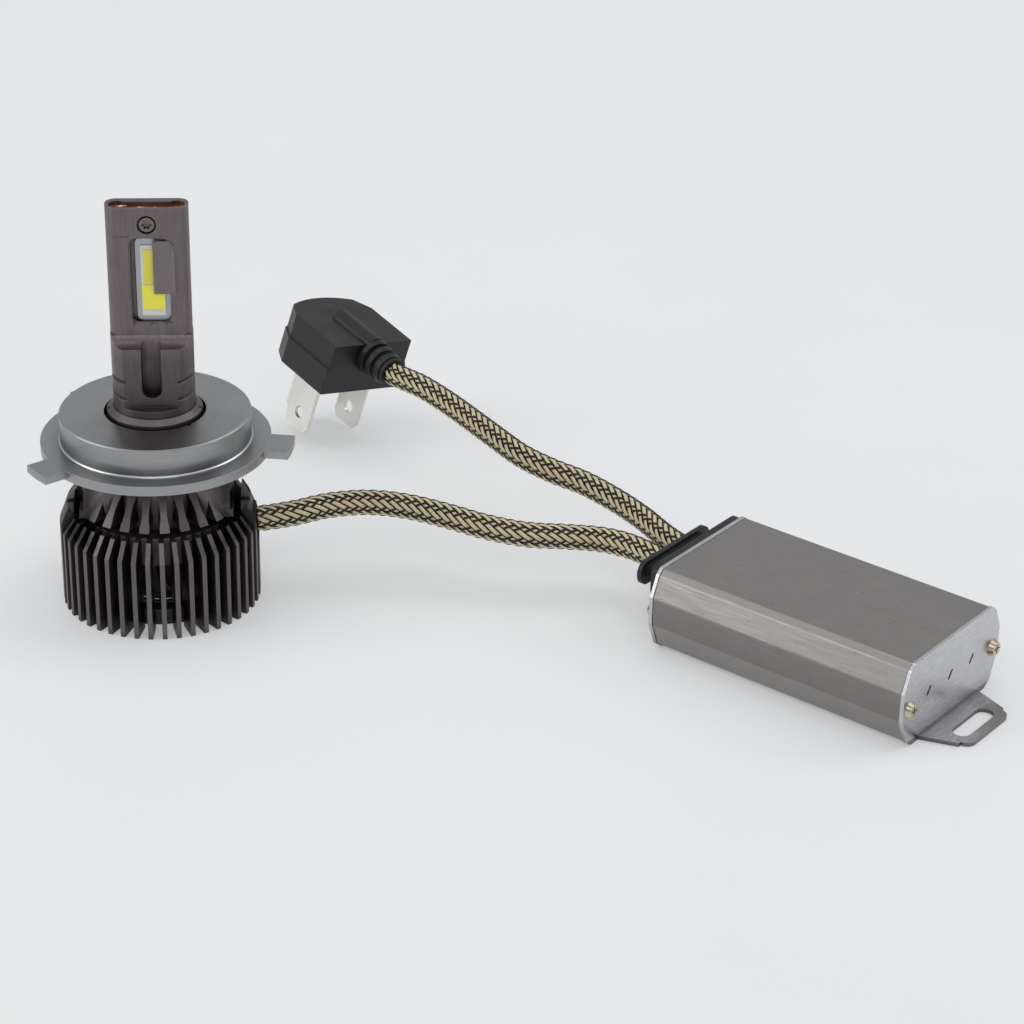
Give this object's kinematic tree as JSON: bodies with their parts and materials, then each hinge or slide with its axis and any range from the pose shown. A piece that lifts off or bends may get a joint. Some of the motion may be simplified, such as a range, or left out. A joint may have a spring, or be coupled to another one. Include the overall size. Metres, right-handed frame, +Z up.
{
  "type": "headlight bulb",
  "caption": "Three-tab LED headlight bulb: flat lamp column on a turning collar, finned heat sink with fan, driver box, braided leads and a flat-blade plug.",
  "frame": {"origin": "centre of the collar flange's upper face, on the bulb's axis", "axes": "+Z up the lamp column, which goes into the reflector; -Y out of the front lamp face; +X to the side that the lead leaves"},
  "size_m": [0.1885, 0.1535, 0.0849],
  "materials": {
    "sink_anodised": "dark anodised, satin",
    "column_anodised": "brown-grey anodised, satin",
    "copper": "bare copper, lightly tarnished",
    "screw_black": "blackened",
    "lamp_board": "matt grey board",
    "lamp_base": "white, matt",
    "lamp_phosphor": "yellow, satin",
    "shield_metal": "satin anodised, bevelled edge",
    "collar_metal": "turned, grey anodised",
    "rubber_black": "matt",
    "fan_plastic": "moulded",
    "bearing_bronze": "sintered",
    "shaft_steel": "ground",
    "magnet_ferrite": "dull",
    "stator_steel": "laminated",
    "coil_copper": "enamelled wire",
    "board_green": "solder mask",
    "guard_steel": "black paint",
    "case_aluminium": "drawn and anodised, fine streaks",
    "plate_steel": "zinc plated",
    "screw_nickel": "plated",
    "chip_black": "moulded",
    "sleeve_braid": "braided cream sleeve with dark strands",
    "plug_plastic": "moulded, fine grain",
    "blade_tin": "tin plated"
  },
  "bodies": {
    "bulb": {"heat_sink": "sink_anodised", "column_front": "column_anodised", "column_rear": "column_anodised", "copper_core": "copper", "column_screw": "screw_black", "led_board_front": "lamp_board", "led_board_rear": "lamp_board", "led_base_front": "lamp_base", "led_base_rear": "lamp_base", "led_chips_front": "lamp_phosphor", "led_chips_rear": "lamp_phosphor", "beam_shield_front": "shield_metal", "beam_shield_rear": "shield_metal", "bulb_grommet": "rubber_black", "fan_frame": "fan_plastic", "fan_bearing": "bearing_bronze", "fan_stator": "stator_steel", "fan_coils": "coil_copper", "fan_board": "board_green", "fan_guard": "guard_steel", "fan_screws": "screw_nickel", "driver_case": "case_aluminium", "driver_end_plate": "plate_steel", "driver_front_plate": "plate_steel", "end_plate_screws": "screw_nickel", "front_plate_screws": "screw_nickel", "cable_gland": "rubber_black", "driver_board": "board_green", "driver_inductor": "coil_copper", "driver_capacitors": "chip_black", "driver_transistors": "chip_black", "driver_chip": "chip_black", "bulb_cable": "sleeve_braid", "plug_cable": "sleeve_braid", "plug_body": "plug_plastic", "plug_strain_relief": "rubber_black", "plug_blade_near": "blade_tin", "plug_blade_far": "blade_tin", "plug_blade_cross": "blade_tin"},
    "collar_seal": {"collar_o_ring": "rubber_black"},
    "collar": {"collar": "collar_metal"},
    "fan": {"fan_rotor": "fan_plastic", "fan_shaft": "shaft_steel", "fan_magnet": "magnet_ferrite"}
  },
  "joints": [
    {"name": "fan_spin", "type": "hinge", "parent": "bulb", "child": "fan", "pos_m": [0, 0, -0.029], "axis": [0, 0, 1], "continuous": true},
    {"name": "collar_lift_off", "type": "slide", "parent": "bulb", "child": "collar_seal", "axis": [0, 0, 1], "range_m": [0, 0.056]},
    {"name": "collar_turn", "type": "hinge", "parent": "collar_seal", "child": "collar", "pos_m": [0, 0, 0], "axis": [0, 0, 1], "continuous": true}
  ]
}
